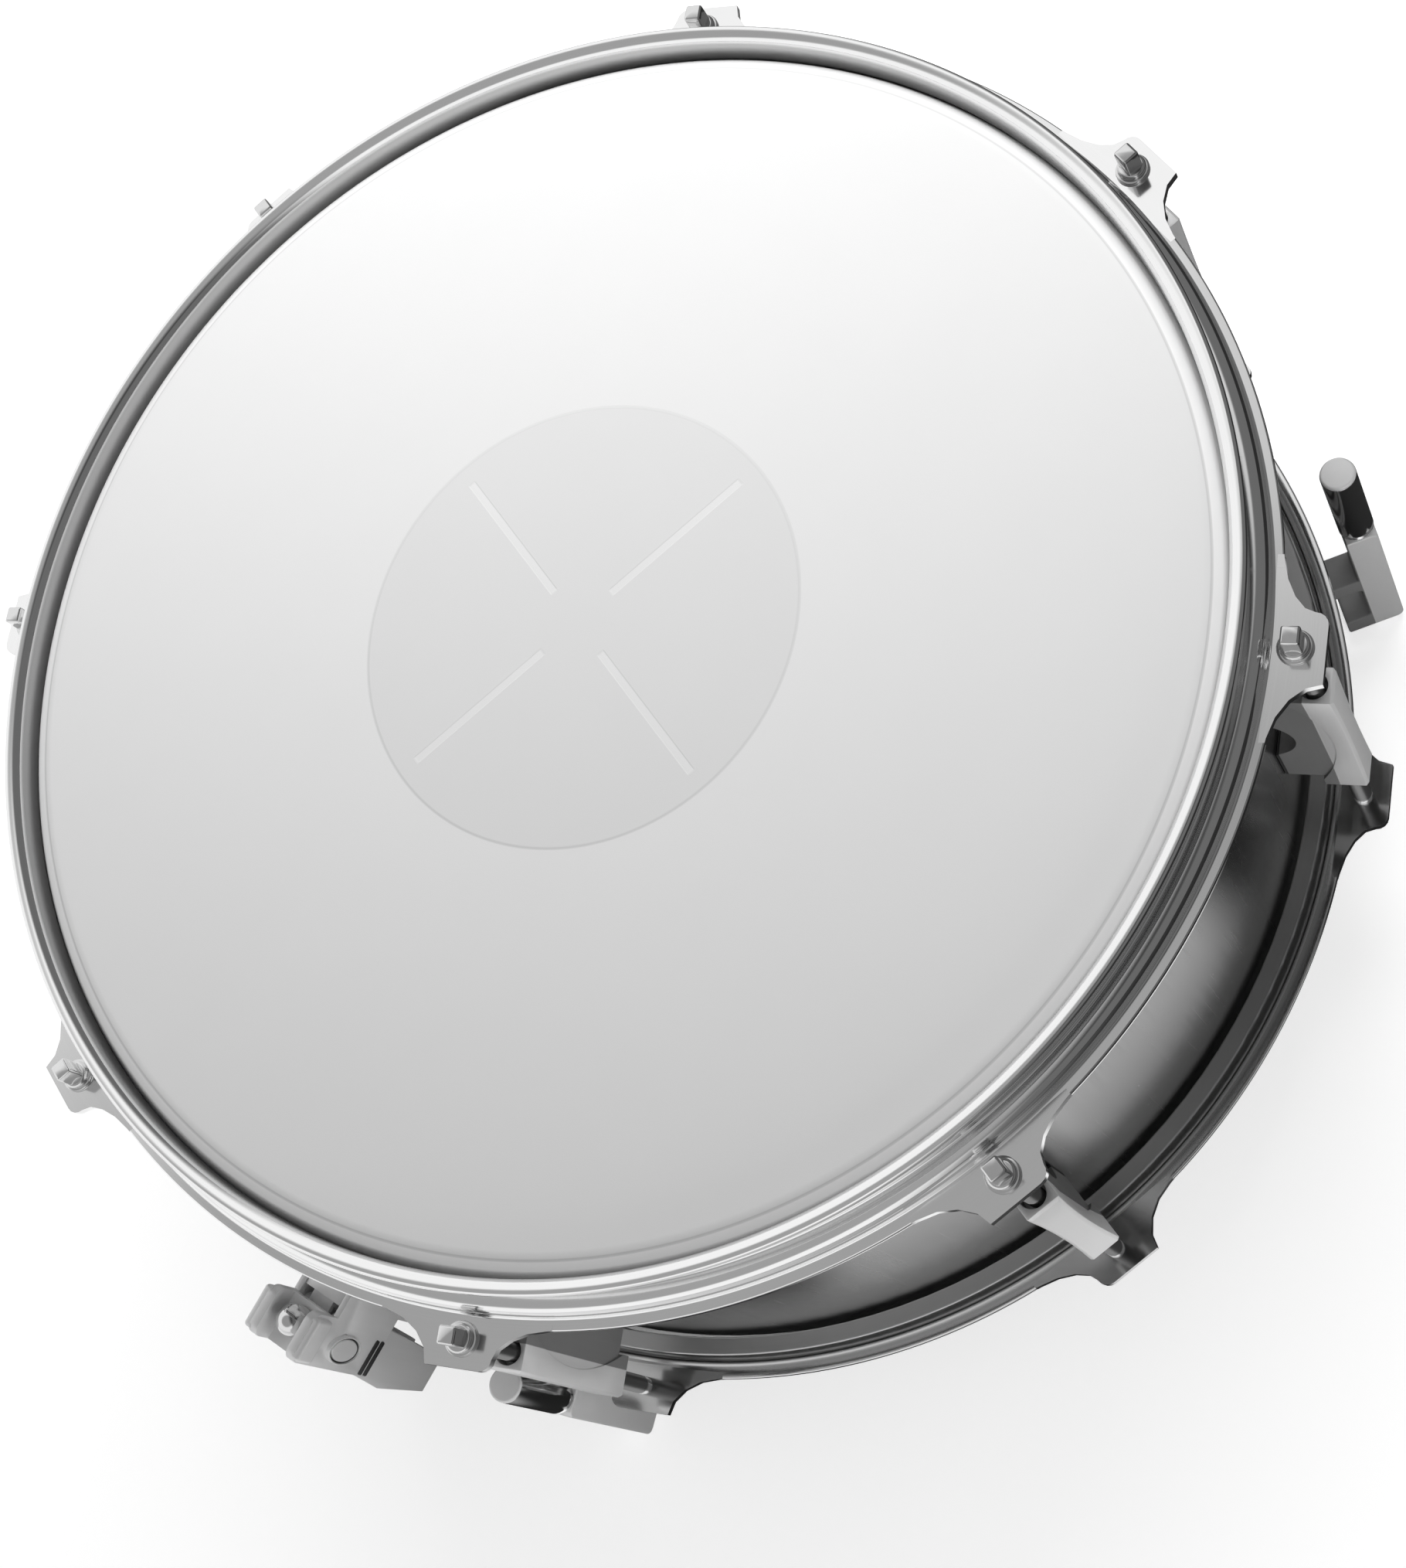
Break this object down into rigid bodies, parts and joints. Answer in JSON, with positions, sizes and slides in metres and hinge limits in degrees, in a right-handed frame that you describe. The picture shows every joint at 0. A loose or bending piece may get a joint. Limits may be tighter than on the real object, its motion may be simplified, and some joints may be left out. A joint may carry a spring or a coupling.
{
  "type": "snare drum",
  "caption": "Round metal-shell snare drum with a coated reverse-dot batter head, flanged hoops, bridge lugs, key rods, a throw-off strainer and short cradle feet.",
  "frame": {"origin": "centre of the bounding box on the floor plane under the cradle feet", "axes": "+Z along the drum axis towards the batter head, X along the snare wires with the strainer at -X"},
  "size_m": [0.4178, 0.3932, 0.1888],
  "materials": {
    "chrome": "polished",
    "steel": "satin",
    "brass": "satin",
    "aluminium": "satin",
    "coated_film": "matte",
    "dot_film": "matte",
    "clear_film": "gloss",
    "resin": "gloss",
    "gasket": "matte",
    "strap": "gloss",
    "foot_metal": "satin"
  },
  "bodies": {
    "drum": {"shell": "chrome", "batter_hoop": "chrome", "snare_side_hoop": "chrome", "rod_washers": "chrome", "strainer_base": "chrome", "strainer_pivot_pin": "chrome", "butt_block": "chrome", "butt_clamp": "chrome", "butt_clamp_screws": "chrome", "vent_grommet": "chrome", "lug_1": "chrome", "lug_2": "chrome", "lug_3": "chrome", "lug_4": "chrome", "lug_5": "chrome", "lug_6": "chrome", "lug_7": "chrome", "lug_8": "chrome", "shell_screws": "steel", "shell_screw_washers": "steel", "snare_wires": "steel", "lug_swivel_nuts": "steel", "snare_end_plates": "brass", "batter_flesh_hoop": "aluminium", "snare_side_flesh_hoop": "aluminium", "batter_film": "coated_film", "batter_dot": "dot_film", "snare_side_film": "clear_film", "batter_resin": "resin", "snare_side_resin": "resin", "lug_gaskets": "gasket", "strainer_strap": "strap", "butt_strap": "strap", "foot_1": "foot_metal", "foot_2": "foot_metal", "foot_3": "foot_metal", "foot_sleeves": "chrome"},
    "lever": {"strainer_lever": "chrome", "strainer_crank_pin": "chrome"},
    "slide": {"strainer_slide": "chrome", "strainer_clamp": "chrome", "strainer_clamp_screws": "chrome"},
    "knob": {"strainer_knob": "chrome"},
    "batter_rod_1": {"batter_rod_1": "chrome"},
    "batter_rod_2": {"batter_rod_2": "chrome"},
    "batter_rod_3": {"batter_rod_3": "chrome"},
    "batter_rod_4": {"batter_rod_4": "chrome"},
    "batter_rod_5": {"batter_rod_5": "chrome"},
    "batter_rod_6": {"batter_rod_6": "chrome"},
    "batter_rod_7": {"batter_rod_7": "chrome"},
    "batter_rod_8": {"batter_rod_8": "chrome"},
    "snare_side_rod_1": {"snare_side_rod_1": "chrome"},
    "snare_side_rod_2": {"snare_side_rod_2": "chrome"},
    "snare_side_rod_3": {"snare_side_rod_3": "chrome"},
    "snare_side_rod_4": {"snare_side_rod_4": "chrome"},
    "snare_side_rod_5": {"snare_side_rod_5": "chrome"},
    "snare_side_rod_6": {"snare_side_rod_6": "chrome"},
    "snare_side_rod_7": {"snare_side_rod_7": "chrome"},
    "snare_side_rod_8": {"snare_side_rod_8": "chrome"}
  },
  "joints": [
    {"name": "lever_throw", "type": "hinge", "parent": "drum", "child": "lever", "pos_m": [-0.1964, -0.00706, 0.11], "axis": [0, 1, 0], "range_deg": [0, 90]},
    {"name": "slide_drop", "type": "slide", "parent": "drum", "child": "slide", "axis": [0, 0, 1], "range_m": [-0.0071, 0], "deforming": ["strainer_strap"]},
    {"name": "knob_turn", "type": "hinge", "parent": "drum", "child": "knob", "pos_m": [-0.1964, -0.00706, 0.126], "axis": [0, 0, 1], "continuous": true},
    {"name": "batter_rod_1_turn", "type": "hinge", "parent": "drum", "child": "batter_rod_1", "pos_m": [0.19233, 0.06718, 0.1723], "axis": [0, 0, 1], "continuous": true},
    {"name": "batter_rod_2_turn", "type": "hinge", "parent": "drum", "child": "batter_rod_2", "pos_m": [0.08734, 0.17217, 0.1723], "axis": [0, 0, 1], "continuous": true},
    {"name": "batter_rod_3_turn", "type": "hinge", "parent": "drum", "child": "batter_rod_3", "pos_m": [-0.06114, 0.17217, 0.1723], "axis": [0, 0, 1], "continuous": true},
    {"name": "batter_rod_4_turn", "type": "hinge", "parent": "drum", "child": "batter_rod_4", "pos_m": [-0.16613, 0.06718, 0.1723], "axis": [0, 0, 1], "continuous": true},
    {"name": "batter_rod_5_turn", "type": "hinge", "parent": "drum", "child": "batter_rod_5", "pos_m": [-0.16613, -0.0813, 0.1723], "axis": [0, 0, 1], "continuous": true},
    {"name": "batter_rod_6_turn", "type": "hinge", "parent": "drum", "child": "batter_rod_6", "pos_m": [-0.06114, -0.18629, 0.1723], "axis": [0, 0, 1], "continuous": true},
    {"name": "batter_rod_7_turn", "type": "hinge", "parent": "drum", "child": "batter_rod_7", "pos_m": [0.08734, -0.18629, 0.1723], "axis": [0, 0, 1], "continuous": true},
    {"name": "batter_rod_8_turn", "type": "hinge", "parent": "drum", "child": "batter_rod_8", "pos_m": [0.19233, -0.0813, 0.1723], "axis": [0, 0, 1], "continuous": true},
    {"name": "snare_side_rod_1_turn", "type": "hinge", "parent": "drum", "child": "snare_side_rod_1", "pos_m": [0.19233, 0.06718, 0.0517], "axis": [0, 0, -1], "continuous": true},
    {"name": "snare_side_rod_2_turn", "type": "hinge", "parent": "drum", "child": "snare_side_rod_2", "pos_m": [0.08734, 0.17217, 0.0517], "axis": [0, 0, -1], "continuous": true},
    {"name": "snare_side_rod_3_turn", "type": "hinge", "parent": "drum", "child": "snare_side_rod_3", "pos_m": [-0.06114, 0.17217, 0.0517], "axis": [0, 0, -1], "continuous": true},
    {"name": "snare_side_rod_4_turn", "type": "hinge", "parent": "drum", "child": "snare_side_rod_4", "pos_m": [-0.16613, 0.06718, 0.0517], "axis": [0, 0, -1], "continuous": true},
    {"name": "snare_side_rod_5_turn", "type": "hinge", "parent": "drum", "child": "snare_side_rod_5", "pos_m": [-0.16613, -0.0813, 0.0517], "axis": [0, 0, -1], "continuous": true},
    {"name": "snare_side_rod_6_turn", "type": "hinge", "parent": "drum", "child": "snare_side_rod_6", "pos_m": [-0.06114, -0.18629, 0.0517], "axis": [0, 0, -1], "continuous": true},
    {"name": "snare_side_rod_7_turn", "type": "hinge", "parent": "drum", "child": "snare_side_rod_7", "pos_m": [0.08734, -0.18629, 0.0517], "axis": [0, 0, -1], "continuous": true},
    {"name": "snare_side_rod_8_turn", "type": "hinge", "parent": "drum", "child": "snare_side_rod_8", "pos_m": [0.19233, -0.0813, 0.0517], "axis": [0, 0, -1], "continuous": true}
  ],
  "couplings": [
    {"joint": "slide_drop", "follows": "lever_throw", "m_per_rad": -0.0045009}
  ]
}
